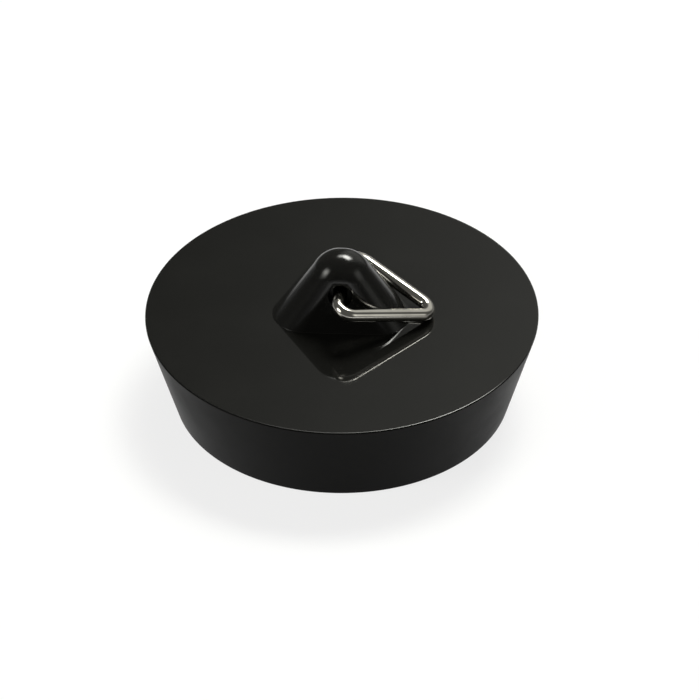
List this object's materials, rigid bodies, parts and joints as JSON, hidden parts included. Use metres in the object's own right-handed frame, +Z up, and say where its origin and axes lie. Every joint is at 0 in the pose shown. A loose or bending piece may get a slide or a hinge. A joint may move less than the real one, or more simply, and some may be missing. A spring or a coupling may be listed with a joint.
{
  "type": "drain stopper",
  "caption": "Tapered black sink and bath plug with a pierced tent-shaped lug on its flat top and a bent wire triangle hinged in the lug to pull it by.",
  "frame": {"origin": "centre of the ring that the plug stands on, at its lowest level", "axes": "+Z up along the plug's axis, +Y along the hole through the lug, +X towards the side that the wire triangle lies on at rest"},
  "size_m": [0.045, 0.045, 0.0199],
  "materials": {
    "black_moulding": "polished top and lug, satin tapered side",
    "steel_wire": "bright drawn wire"
  },
  "bodies": {
    "plug": {"plug_body": "black_moulding"},
    "bail": {"wire_triangle": "steel_wire"}
  },
  "joints": [
    {"name": "bail_swing", "type": "hinge", "parent": "plug", "child": "bail", "pos_m": [-0.00012, 0, 0.01595], "axis": [0, -1, 0], "range_deg": [0, 222.4]}
  ]
}
